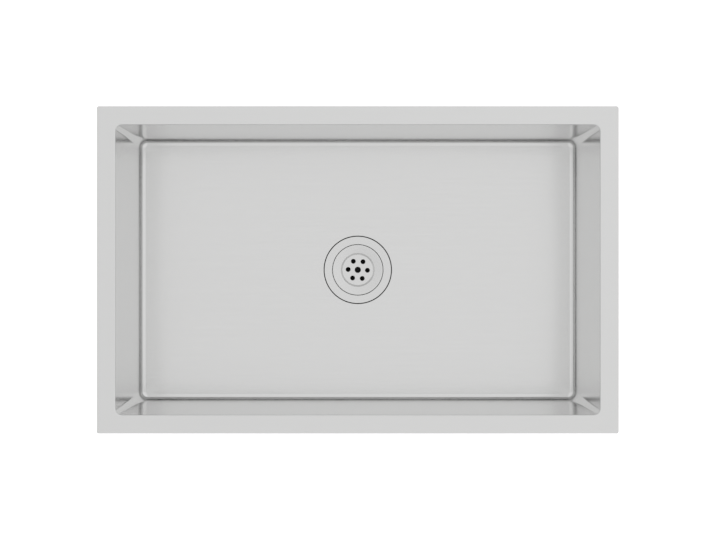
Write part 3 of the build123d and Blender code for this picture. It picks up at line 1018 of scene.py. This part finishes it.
@dataclass
class DampingPads:
    """Rubber pads stuck to the walls and under the floor."""

    palette: Palette
    bowl: Bowl
    corner: float = 12.0
    soft_edge: float = 1.2
    margin: float = 1.0  # a narrow band beside the edge keeps the face flat
    floor_thick: float = 4.0
    cap_steps: int = 9

    def build(self) -> None:
        """Makes every pad."""
        for side in ("front", "back", "left", "right"):
            self.wall_pad("side_pad_" + side)
        for side in ("left", "right"):
            self.floor_pad("floor_pad_" + side)

    def pad(self, name: str, half_u: float, half_v: float, thick: float, place: Placing) -> None:
        """Makes a pad from its outline.

        Args:
            name: the frame's node that it stands for.
            half_u: half its length.
            half_v: half its height.
            thick: its thickness.
            place: a function from (u, v, height above the metal) to a point in millimetres.
        """
        edge = self.soft_edge
        spread = [k / self.cap_steps for k in range(self.cap_steps)]
        levels = [(share, 0.0, 0.0) for share in (*spread, 1.0)] + [(1.0, 0.0, thick - edge)]
        for t in (0.5, 1.0, QUARTER):
            levels.append((1.0, edge * (1 - math.cos(t)), thick - edge * (1 - math.sin(t))))
        levels += [(share, edge + self.margin, thick) for share in (1.0, *spread[::-1])]
        rings = []
        for share, inset, height in levels:
            outline = self.bowl.oblong(half_u - inset, half_v - inset, self.corner - inset, 0)
            flat = [point * share / MM for point in outline]
            rings.append([Vector(place(p.x, p.y, height)) * MM for p in flat])
        build = bmesh.new()
        skin(build, rings, closed=False)
        piece = link(name + "_rubber", mesh_from(name, build), self.palette.pad)
        register(piece, Body.SINK, Slot.PAD, name)

    def wall_pad(self, name: str) -> None:
        """Makes a pad on a wall, from the frame's node."""
        low, high = (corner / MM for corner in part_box(name))
        size, middle = high - low, (high + low) / 2
        on_side = size.x < size.y
        out = Vector((math.copysign(1, middle.x), 0) if on_side else (0, math.copysign(1, middle.y)))
        thick = min(size.x, size.y)
        wall = max(abs(middle.x), abs(middle.y)) - thick / 2
        along = Vector((-out.y, out.x))

        def place(u: float, v: float, height: float) -> Point:
            """The point at (u, v) on the wall and a height off it."""
            flat = along * u + out * (wall + height)
            return flat.x, flat.y, middle.z + v

        self.pad(name, max(size.x, size.y) / 2, size.z / 2, thick, place)

    def floor_pad(self, name: str) -> None:
        """Makes a pad under the floor, which follows the floor's slope."""
        low, high = (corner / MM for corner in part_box(name))
        size, middle = high - low, (high + low) / 2

        def place(u: float, v: float, height: float) -> Point:
            """The point at (u, v) under the floor and a height below it."""
            x, y = middle.x + u, middle.y + v
            return x, y, self.bowl.floor_height(x, y) - self.bowl.sheet - height

        self.pad(name, size.x / 2, size.y / 2, self.floor_thick, place)


# ---- The drain ----


@dataclass
class Fittings:
    """Round pieces that move with one body."""

    palette: Palette
    workshop: Workshop
    body: ClassVar[Body] = Body.SINK
    inset: ClassVar[float] = 1.0  # how far a nut's lugs stop short of its ends

    def turn(
        self,
        name: str,
        node: str,
        slot: Slot,
        finish: bpy.types.Material,
        corners: Sequence[Corner],
        facets: int = FACETS,
    ) -> None:
        """Makes a turned piece.

        Args:
            name: the piece's name.
            node: the frame's node that it stands for.
            slot: the record's material slot.
            finish: the material.
            corners: its outline.
            facets: how many facets go round.
        """
        register(link(name, turned(name, corners, facets), finish), self.body, slot, node)

    def flat_ring(
        self, name: str, node: str, slot: Slot, finish: bpy.types.Material, bore: float, edge: float
    ) -> None:
        """Makes a flat ring of the same outside size as a node.

        Args:
            name: the piece's name.
            node: the frame's node that it stands for.
            slot: the record's material slot.
            finish: the material.
            bore: the ring's bore.
            edge: the rounding of its edges.
        """
        low, top = heights_of(node)
        rim = reach_of(node)
        spots = [(bore, low), (rim, low), (rim, top), (bore, top)]
        self.turn(name, node, slot, finish, [Corner(r, z, edge) for r, z in spots])

    @staticmethod
    def dress(node: str, finish: bpy.types.Material) -> None:
        """Gives a finish to a node of the frame that stays in the scene."""
        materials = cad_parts[node].data.materials
        materials.clear()
        materials.append(finish)


@dataclass
class Strainer(Fittings):
    """The fixed strainer: drawn cup, its seals, washer and locknut."""

    ledge: float = 43.9
    ledge_depth: float = 1.6
    dish: float = 0.3
    sheet: float = 1.0
    cup: float = 41.35
    root: float = 42.25
    seat: float = 27.5
    seat_drop: float = 8.0
    bottom: float = 1.5
    outlet: float = 21.5
    pitch: float = 2.1
    ring_bore: float = 43.4
    nut_bore: float = 43.0
    nut_body: float = 50.5
    nut_flange: float = 54.5
    nut_flange_height: float = 3.0
    lugs: int = 8
    lug_inner: float = 47.0
    lug_outer: float = 57.0
    lug_half: float = 5.5

    def build(self) -> None:
        """Makes the fixed strainer's pieces."""
        self.cup_piece()
        seal, fibre, bore = self.palette.seal, self.palette.fibre, self.ring_bore
        self.flat_ring("body_gasket_ring", "body_gasket", Slot.SEAL, seal, bore, 0.6)
        self.flat_ring("friction_washer_ring", "friction_washer", Slot.FIBRE, fibre, bore, 0.15)
        self.dress("flange_seal", self.palette.foam)
        self.locknut()

    def cup_piece(self) -> None:
        """Makes the drawn cup with the thread on its wall."""
        low, top = heights_of("strainer_body")
        rim = reach_of("strainer_body")
        ledge = top - self.ledge_depth
        below = ledge - self.sheet
        floor = low + self.bottom
        seat_top = floor + self.seat_drop
        corners = [
            Corner(rim, top, 0.4),
            Corner(self.ledge, top - self.dish, 0.35),
            Corner(self.ledge, ledge, 0.2),
            Corner(self.cup, ledge, 0.8),
            Corner(self.cup, seat_top, 2.0),
            Corner(self.seat, floor, 1.5),
            Corner(self.outlet, floor, 0.6),
            Corner(self.outlet, low, 0.2),
            Corner(self.seat, low, 1.5),
            Corner(self.root, seat_top - self.sheet, 2.0),
            Corner(self.root, below, 0.3),
            Corner(self.ledge + self.sheet, below, 0.5),
            Corner(self.ledge + self.sheet, top - self.dish - self.sheet, 0.3),
            Corner(rim, top - self.sheet, 0.4),
        ]
        self.turn("strainer_cup", "strainer_body", Slot.PRESSED, self.palette.cup, corners)
        start, end, finish = seat_top - self.sheet / 2, below - self.sheet, self.palette.pressed
        thread = self.workshop.screw_thread("cup_thread", self.root, start, end, self.pitch, finish)
        register(thread, self.body, Slot.PRESSED)

    def locknut(self) -> None:
        """Makes the ring nut with its lugs."""
        low, top = heights_of("locknut")
        step = top - self.nut_flange_height
        corners = [
            Corner(self.nut_bore, low, 0.5),
            Corner(self.nut_body, low, 0.8),
            Corner(self.nut_body, step, 0.5),
            Corner(self.nut_flange, step, 0.6),
            Corner(self.nut_flange, top, 0.5),
            Corner(self.nut_bore, top, 0.5),
        ]
        finish = self.palette.plastic
        self.turn("locknut_ring", "locknut", Slot.PLASTIC, finish, corners)
        half, lug_low, lug_top = self.lug_half, low + self.inset, top - self.inset
        ear = block("ear", (self.lug_inner, -half, lug_low), (self.lug_outer, half, lug_top), 1.1)
        ears = self.workshop.ring_of("locknut_ears", ear, self.lugs, 0.0, finish)
        register(ears, self.body, Slot.PLASTIC)


@dataclass
class Outlet(Fittings):
    """The brass spigot with its socket, the washer, the outlet tube and the coupling nut."""

    bore: float = 20.4
    washer_bore: float = 19.4
    pilot: float = 21.4
    root: float = 22.8
    flange: float = 28.0
    flange_height: float = 2.5
    length: float = 20.0
    pitch: float = 2.2
    thread_low: float = 0.8  # above the spigot's end
    thread_top: float = 1.2  # below its shoulder
    socket: float = 4.6
    socket_wall: float = 3.2
    socket_mouth: float = 1.2
    arm: float = 1.8
    arm_root: float = 1.0  # of an arm in the socket's wall
    arm_tip: float = 0.8  # of an arm in the spigot's wall
    arms: int = 3
    tube: float = 19.05
    tube_wall: float = 1.2
    tube_flange: float = 1.4
    nut_bore: float = 19.75
    nut_inner: float = 23.5
    nut_nose: float = 25.6
    nut_body: float = 27.6
    nut_floor: float = 2.6
    nut_chamfer: float = 2.0
    lugs: int = 6
    lug_outer: float = 30.6
    lug_half: float = 4.5

    def build(self) -> None:
        """Makes the outlet's pieces."""
        self.spigot()
        self.cross()
        nylon = self.palette.nylon
        self.flat_ring("nylon_washer", "tailpiece_washer", Slot.NYLON, nylon, self.washer_bore, 0.3)
        self.tube_piece()
        self.nut()

    def spigot(self) -> None:
        """Makes the threaded outlet."""
        low, top = heights_of("outlet_spigot")
        shoulder = low + self.length
        corners = [
            Corner(self.bore, low, 0.4),
            Corner(self.root, low, 0.6),
            Corner(self.root, shoulder, 0.3),
            Corner(self.flange, shoulder, 0.4),
            Corner(self.flange, shoulder + self.flange_height, 0.3),
            Corner(self.pilot, shoulder + self.flange_height, 0.1),
            Corner(self.pilot, top, 0.2),
            Corner(self.bore, top, 0.5),
        ]
        finish = self.palette.brass
        self.turn("spigot_nipple", "outlet_spigot", Slot.BRASS, finish, corners)
        start, end = low + self.thread_low, shoulder - self.thread_top
        thread = self.workshop.screw_thread("spigot_thread", self.root, start, end, self.pitch, finish)
        register(thread, self.body, Slot.BRASS)

    def cross(self) -> None:
        """Makes the socket for the nose and the arms that hold it in the outlet's bore."""
        finish = self.palette.brass
        low, top = heights_of("outlet_cross")
        outer = self.socket + self.socket_wall
        corners = [
            Corner(self.socket, low, 0.3),
            Corner(outer, low, 0.5),
            Corner(outer, top, 0.5),
            Corner(self.socket + self.socket_mouth, top, 0.2),
            Corner(self.socket, top - self.socket_mouth, 0.3),
        ]
        self.turn("cross_hub", "outlet_cross", Slot.BRASS, finish, corners, FACETS // 2)
        root, tip = outer - self.arm_root, self.bore + self.arm_tip
        arm = block("arm", (root, -self.arm, low), (tip, self.arm, top), 0.8)
        arms = self.workshop.ring_of("cross_arms", arm, self.arms, QUARTER, finish)
        register(arms, self.body, Slot.BRASS)

    def tube_piece(self) -> None:
        """Makes the flanged outlet tube."""
        low, top = heights_of("tailpiece")
        rim = reach_of("tailpiece")
        bore, step = self.tube - self.tube_wall, top - self.tube_flange
        corners = [
            Corner(bore, low, 0.3),
            Corner(self.tube, low, 0.3),
            Corner(self.tube, step, 0.6),
            Corner(rim, step, 0.4),
            Corner(rim, top, 0.4),
            Corner(bore, top, 1.2),
        ]
        self.turn("outlet_tube", "tailpiece", Slot.PLATED, self.palette.plated, corners)

    def nut(self) -> None:
        """Makes the coupling nut with its lugs."""
        low, top = heights_of("coupling_nut")
        floor, chamfer = low + self.nut_floor, low + self.nut_chamfer
        corners = [
            Corner(self.nut_bore, low, 0.4),
            Corner(self.nut_nose, low, 0.5),
            Corner(self.nut_body, chamfer, 0.8),
            Corner(self.nut_body, top, 0.6),
            Corner(self.nut_inner, top, 0.5),
            Corner(self.nut_inner, floor, 0.3),
            Corner(self.nut_bore, floor, 0.2),
        ]
        finish = self.palette.plated
        self.turn("coupling_ring", "coupling_nut", Slot.PLATED, finish, corners)
        half = self.lug_half
        ear = block("ear", (self.nut_nose, -half, chamfer), (self.lug_outer, half, top - self.inset), 1.0)
        ears = self.workshop.ring_of("coupling_ears", ear, self.lugs, 0.0, finish)
        register(ears, self.body, Slot.PLATED)


@dataclass
class Basket(Fittings):
    """The lift-out basket with its stem, screw, stopper, nose and grip ring."""

    body: ClassVar[Body] = Body.BASKET
    sheet: float = 0.8
    rim_width: float = 1.6
    cone: float = 29.1
    cone_drop: float = 3.2
    step: float = 26.1
    step_drop: float = 2.0
    step_bend: float = 2.2
    plate: float = 25.3
    holes: int = 6
    hole: float = 4.15
    hole_edge: float = 0.3
    hole_circle: float = 16.6
    first_hole: float = math.radians(-2.5)
    middle: float = 5.1

    post: float = 5.0
    post_foot: float = 5.4
    collar: float = 11.4
    collar_height: float = 2.2
    core: float = 7.0
    well: float = 3.1
    well_depth: float = 9.0
    screw_bore: float = 1.6
    ribs: int = 4
    rib_inner: float = 5.5
    rib_outer: float = 10.3
    rib_half: float = 0.8
    rib_clear: float = 0.05  # below the ribs, to the post's end
    rib_root: float = 0.5  # of a rib in the collar

    disc: float = 31.4
    disc_flat: float = 23.0
    disc_web: float = 2.2
    disc_hub: float = 10.5
    disc_hub_height: float = 4.0
    lip_inner: float = 29.8
    lip_height: float = 1.4

    pin: float = 4.2
    pin_tip: float = 2.8
    pin_taper: float = 1.4
    groove: float = 3.1
    shoulder: float = 8.5
    shoulder_height: float = 2.5

    def __post_init__(self) -> None:
        """Works out the heights."""
        self.top = heights_of("strainer_basket")[1]
        self.cone_low = self.top - self.cone_drop
        self.plate_top = self.cone_low - self.step_drop
        self.plate_low = self.plate_top - self.sheet

    def build(self) -> None:
        """Makes the basket's pieces."""
        self.dish()
        self.stem()
        self.stopper()
        self.nose()
        # the screw's near-black colour is black oxide and painted shade for the deep well
        self.dress("stem_screw", self.palette.blackened_and_shaded)
        self.dress("stopper_washer", self.palette.pressed)
        self.dress("grip_ring", self.palette.seal)

    def dish(self) -> None:
        """Makes the pressed dish with its perforated middle as one closed shell."""
        finish = self.palette.pressed
        rim = reach_of("strainer_basket")
        flat = rim - self.rim_width
        sheet, edge = self.sheet, self.hole_edge
        dish = [
            Corner(self.plate, self.plate_top),
            Corner(self.step, self.plate_top, self.step_bend),
            Corner(self.cone, self.cone_low, self.step_bend),
            Corner(flat, self.top, 0.6),
            Corner(rim, self.top, 0.3),
            Corner(rim, self.top - sheet, 0.3),
            Corner(flat, self.top - sheet, 0.6),
            Corner(self.cone + sheet, self.cone_low - sheet, self.step_bend),
            Corner(self.step + sheet, self.plate_low, self.step_bend),
            Corner(self.plate, self.plate_low),
        ]
        parts = [link("dish", turned("dish", dish, closed=False))]
        for height, opened in ((self.plate_top, self.hole + edge), (self.plate_low, self.hole)):
            values = {
                "Radius": self.plate * MM,
                "Height": height * MM,
                "Count": self.holes,
                "Turn": self.first_hole,
                "Hole": opened * MM,
                "Hole Circle": self.hole_circle * MM,
                "Middle Hole": self.middle * MM,
                "Finish": finish,
            }
            parts.append(self.workshop.perforated.run("plate", values))
        collar = [
            Corner(self.hole + edge, self.plate_top),
            Corner(self.hole, self.plate_top, edge),
            Corner(self.hole, self.plate_low),
        ]
        collar_mesh = turned("collar", collar, FACETS // 4, closed=False)
        collar_mesh.transform(Matrix.Translation((self.hole_circle * MM, 0, 0)))
        parts.append(self.workshop.ring_of("collars", collar_mesh, self.holes, self.first_hole, finish))
        bore = [Corner(self.middle, self.plate_top), Corner(self.middle, self.plate_low)]
        parts.append(link("bore", turned("bore", bore, FACETS // 2, closed=False)))
        register(join("basket_dish", parts, finish), self.body, Slot.PRESSED, "strainer_basket")

    def stem(self) -> None:
        """Makes the moulded post with its ribs."""
        low, top = heights_of("basket_stem")
        collar_low = self.plate_low - self.collar_height
        seat = self.plate_top - self.well_depth
        corners = [
            Corner(self.well, top, 0.25),
            Corner(self.post, top, 0.3),
            Corner(self.post_foot, self.plate_top, 0.1),
            Corner(self.post, self.plate_top, 0.0),
            Corner(self.post, self.plate_low, 0.0),
            Corner(self.collar, self.plate_low, 0.4),
            Corner(self.collar, collar_low, 0.5),
            Corner(self.core, collar_low, 0.6),
            Corner(self.core, low, 0.2),
            Corner(self.screw_bore, low, 0.1),
            Corner(self.screw_bore, seat, 0.1),
            Corner(self.well, seat, 0.2),
        ]
        finish = self.palette.stem
        self.turn("stem_post", "basket_stem", Slot.PLASTIC, finish, corners, FACETS // 2)
        half = self.rib_half
        rib_low, rib_top = low + self.rib_clear, collar_low + self.rib_root
        rib = block("rib", (self.rib_inner, -half, rib_low), (self.rib_outer, half, rib_top), 0.3)
        ribs = self.workshop.ring_of("stem_ribs", rib, self.ribs, QUARTER / 2, finish)
        register(ribs, self.body, Slot.PLASTIC)

    def stopper(self) -> None:
        """Makes the rubber disc."""
        low, top = heights_of("stopper_seal")
        hub_low = top - self.disc_hub_height
        web_low = top - self.disc_web
        corners = [
            Corner(self.screw_bore, top, 0.1),
            Corner(self.disc_flat, top, 1.5),
            Corner(self.disc, low + self.lip_height, 0.5),
            Corner(self.disc, low, 0.3),
            Corner(self.lip_inner, low, 0.4),
            Corner(self.disc_flat, web_low, 1.5),
            Corner(self.disc_hub, web_low, 0.5),
            Corner(self.disc_hub, hub_low, 0.4),
            Corner(self.screw_bore, hub_low, 0.1),
        ]
        self.turn("stopper_disc", "stopper_seal", Slot.SEAL, self.palette.seal, corners)

    def nose(self) -> None:
        """Makes the turned pin under the stopper."""
        low, top = heights_of("stem_nose")
        groove_low, groove_top = heights_of("grip_ring")
        shoulder_low = top - self.shoulder_height
        corners = [
            Corner(0.0, low, 0.0),
            Corner(self.pin_tip, low, 0.3),
            Corner(self.pin, low + self.pin_taper, 0.5),
            Corner(self.pin, groove_low, 0.1),
            Corner(self.groove, groove_low, 0.05),
            Corner(self.groove, groove_top, 0.05),
            Corner(self.pin, groove_top, 0.1),
            Corner(self.pin, shoulder_low, 0.3),
            Corner(self.shoulder, shoulder_low, 0.5),
            Corner(self.shoulder, top, 0.3),
            Corner(0.0, top, 0.0),
        ]
        self.turn("nose_pin", "stem_nose", Slot.BRASS, self.palette.brass, corners, FACETS // 2)


# ---- The studio ----


@dataclass
class Studio:
    """The white floor, the soft light and the camera straight above."""

    camera_height: float = 1.91
    lens_width: float = 32.04  # the view's width, in degrees
    lens_shift: tuple[float, float] = (0.0003, -0.0002)
    floor_half: float = 12.0
    horizon: float = 0.73
    overhead: float = 0.09  # how much brighter the light is straight above than at the horizon
    rightward: float = 0.07  # how much brighter it is towards +X, and darker towards -X
    backward: float = 0.03  # the same towards +Y

    def build(self) -> None:
        """Makes the studio."""
        self.floor()
        self.light()
        self.camera()

    def floor(self) -> None:
        """Lays the floor under the outlet tube's end."""
        build = bmesh.new()
        bmesh.ops.create_grid(build, x_segments=1, y_segments=1, size=self.floor_half)
        bmesh.ops.translate(build, verts=build.verts, vec=(0, 0, CAD_BOX[0][2]))
        mesh = bpy.data.meshes.new("studio_floor")
        build.to_mesh(mesh)
        build.free()
        white = StudioFloor("studio_white", (0.9, 0.9, 0.9), 0.9).build()
        floor = link("studio_floor", mesh, white)

    def light(self) -> None:
        """Makes soft surroundings, brightest overhead and a little brighter on the right and at the back."""
        world = bpy.data.worlds.new("studio_white")
        world.use_nodes = True
        world.node_tree.nodes.clear()
        net = Net(world.node_tree)
        direction = net.add("ShaderNodeTexCoord").other("Generated")
        towards = net.add("ShaderNodeSeparateXYZ", None, {0: direction})
        strength = towards.other("Z") ** 2.0 * self.overhead + self.horizon
        strength = strength + towards.other("X") * self.rightward + towards.other("Y") * self.backward
        glow = net.add("ShaderNodeBackground", None, {"Color": (1, 1, 1, 1), "Strength": strength})
        net.add("ShaderNodeOutputWorld", None, {"Surface": glow})
        bpy.context.scene.world = world

    def camera(self) -> None:
        """Sets the camera over the middle of the rim, looking straight down."""
        data = bpy.data.cameras.new("overhead")
        data.angle = math.radians(self.lens_width)
        data.shift_x, data.shift_y = self.lens_shift
        data.clip_end = 100
        camera = link("overhead", data)
        camera.location = (0, 0, self.camera_height)
        bpy.context.scene.camera = camera
        bpy.context.scene.view_settings.view_transform = "Standard"


def main() -> None:
    """Builds the studio and every sub-assembly in order."""
    logging.basicConfig(level=logging.INFO, format="%(name)s: %(message)s")
    Studio().build()
    palette = Palette()
    workshop = Workshop()
    bowl = Bowl(palette)
    bowl.build()
    DampingPads(palette, bowl).build()
    Strainer(palette, workshop).build()
    Outlet(palette, workshop).build()
    Basket(palette, workshop).build()


if __name__ == "__main__":
    main()
